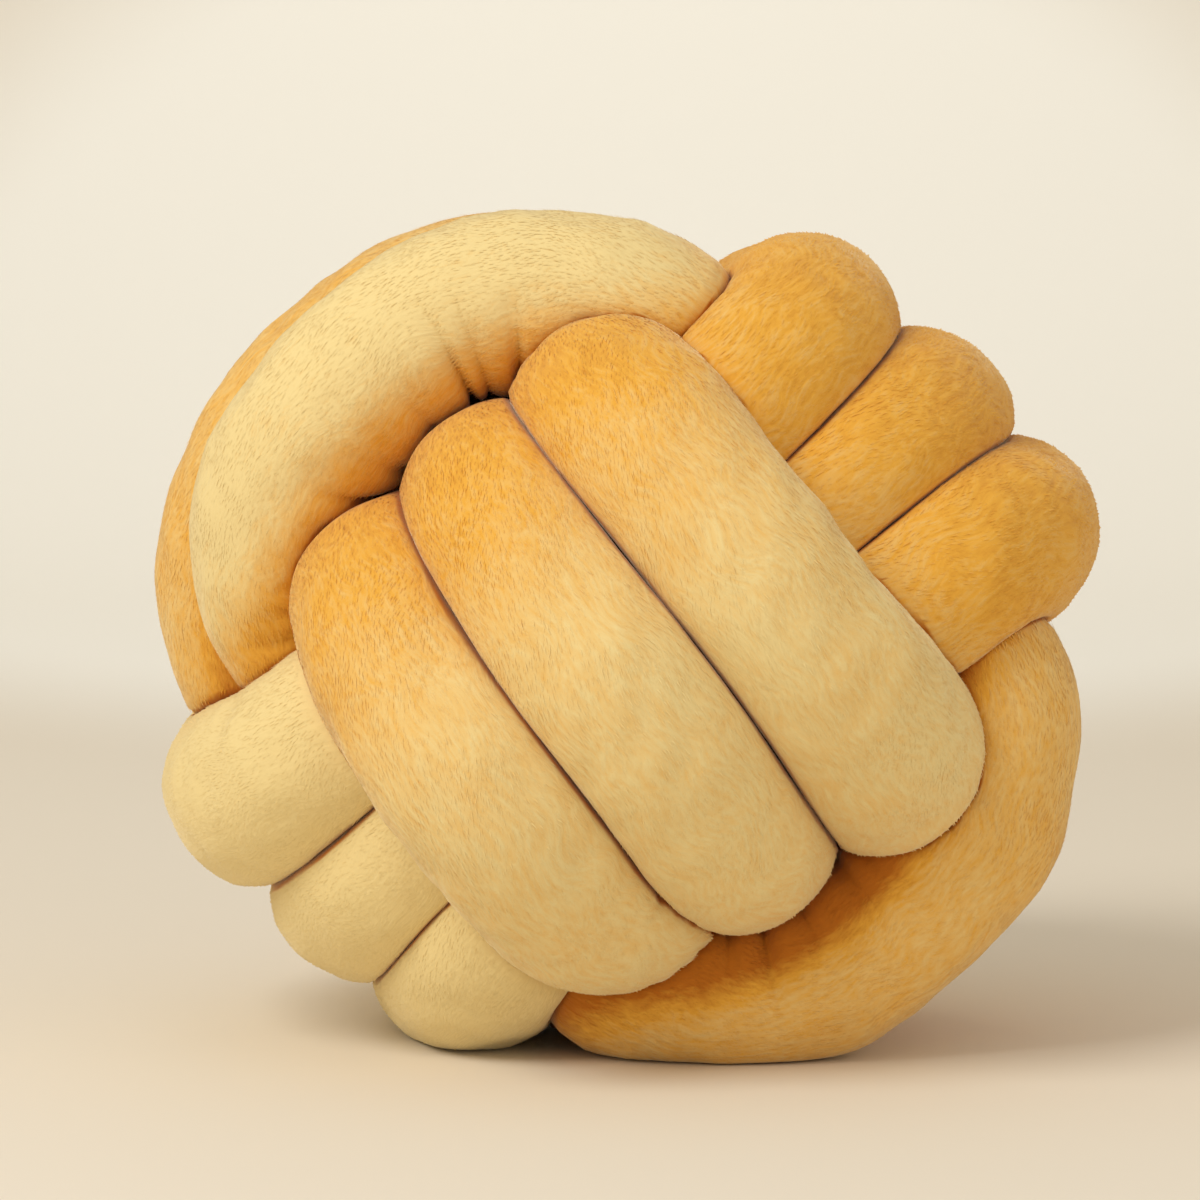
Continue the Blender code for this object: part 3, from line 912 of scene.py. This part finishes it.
class CUSHION_OT_stage(bpy.types.Operator):
    """Makes the sweep that the cushion stands on, the soft lights and the camera"""

    bl_idname = "cushion.stage"
    bl_label = "Stage"

    def execute(self, context):
        stage = context.scene.cushion_stage
        middle = Vector(context.scene["knot_middle"])
        self.sweep(stage)
        for light in LIGHTS:
            target = middle if light.aim is None else Vector(light.aim)
            self.light(light, target, getattr(stage, light.power))
        world = bpy.data.worlds.new("soft_room")
        world.use_nodes = True
        connect(world.node_tree, world.node_tree.nodes["Background"],
                {"Color": ROOM_COLOUR, "Strength": stage.room})
        context.scene.world = world
        context.scene.view_settings.view_transform = "Standard"
        self.camera(stage, middle)
        return {"FINISHED"}

    @staticmethod
    def sweep(stage):
        """A floor that curves up into a backdrop, with enough room to walk round the cushion."""
        bend = [pi / 2 * step / SWEEP_STEPS for step in range(1, SWEEP_STEPS + 1)]
        foot = SWEEP_BACK - SWEEP_RADIUS
        outline = [(SWEEP_FRONT, 0.0), (SWEEP_NEAR, 0.0), (foot, 0.0)]
        outline += [(foot + SWEEP_RADIUS * sin(angle), SWEEP_RADIUS - SWEEP_RADIUS * cos(angle))
                    for angle in bend]
        outline.append((SWEEP_BACK, SWEEP_TOP))
        verts = [(side * SWEEP_HALF_WIDTH, y, z) for y, z in outline for side in (-1, 1)]
        faces = [(2 * i, 2 * i + 1, 2 * i + 3, 2 * i + 2) for i in range(len(outline) - 1)]
        mesh = bpy.data.meshes.new("studio_sweep")
        mesh.from_pydata(verts, [], faces)
        mesh.polygons.foreach_set("use_smooth", np.ones(len(faces), bool))
        mesh.materials.append(sweep_material(stage))
        finished(mesh, "studio_sweep")

    @staticmethod
    def light(light, target, power):
        data = bpy.data.lights.new(light.name, "AREA")
        data.shape = "DISK"
        data.size = light.size
        data.energy = power
        data.color = light.colour
        lamp = bpy.data.objects.new(light.name, data)
        lamp.location = light.place
        way = target - Vector(light.place)
        lamp.rotation_euler = way.to_track_quat("-Z", "Y").to_euler()
        bpy.context.scene.collection.objects.link(lamp)

    @staticmethod
    def camera(stage, middle):
        """Looks at the ball from in front and a little above, framed as in the photo."""
        lens = bpy.data.cameras.new("camera")
        lens.sensor_width = SENSOR
        lens.lens = SENSOR * stage.distance / stage.view_width
        lens.shift_x, lens.shift_y = -BALL_RIGHT / PHOTO_WIDTH, BALL_BELOW / PHOTO_WIDTH
        camera = bpy.data.objects.new("camera", lens)
        back = radians(TILT_BACK)
        camera.location = middle + stage.distance * Vector((0, -cos(back), sin(back)))
        camera.rotation_euler = (pi / 2 - back, 0, 0)
        bpy.context.scene.collection.objects.link(camera)
        bpy.context.scene.camera = camera


class CUSHION_PT_panel(bpy.types.Panel):
    """Shows the settings of each step, with buttons for the tube, the pile and the stage"""

    bl_idname = "CUSHION_PT_panel"
    bl_label = "Knot Cushion"
    bl_space_type = "VIEW_3D"
    bl_region_type = "UI"
    bl_category = "Knot Cushion"

    def draw(self, context):
        scene = context.scene
        for title, operator, group in (("Tube", "cushion.tube", scene.cushion_tube),
                                       ("Pile", "cushion.pile", scene.cushion_pile),
                                       ("Colours", None, scene.cushion_colours),
                                       ("Stage", "cushion.stage", scene.cushion_stage)):
            box = self.layout.box()
            box.label(text=title)
            for name in group.__annotations__:
                box.prop(group, name)
            if operator:
                box.operator(operator)


CLASSES = (TubeSettings, PileSettings, PlushColours, StageSettings,
           CUSHION_OT_tube, CUSHION_OT_pile, CUSHION_OT_stage, CUSHION_PT_panel)
GROUPS = {"cushion_tube": TubeSettings, "cushion_pile": PileSettings,
          "cushion_colours": PlushColours, "cushion_stage": StageSettings}


def register():
    for each in CLASSES:
        bpy.utils.register_class(each)
    for name, group in GROUPS.items():
        setattr(bpy.types.Scene, name, PointerProperty(type=group))


def unregister():
    for name in GROUPS:
        delattr(bpy.types.Scene, name)
    for each in reversed(CLASSES):
        bpy.utils.unregister_class(each)


def main():
    register()
    bpy.ops.cushion.tube()
    bpy.ops.cushion.pile()
    bpy.ops.cushion.stage()


if __name__ == "__main__":
    main()
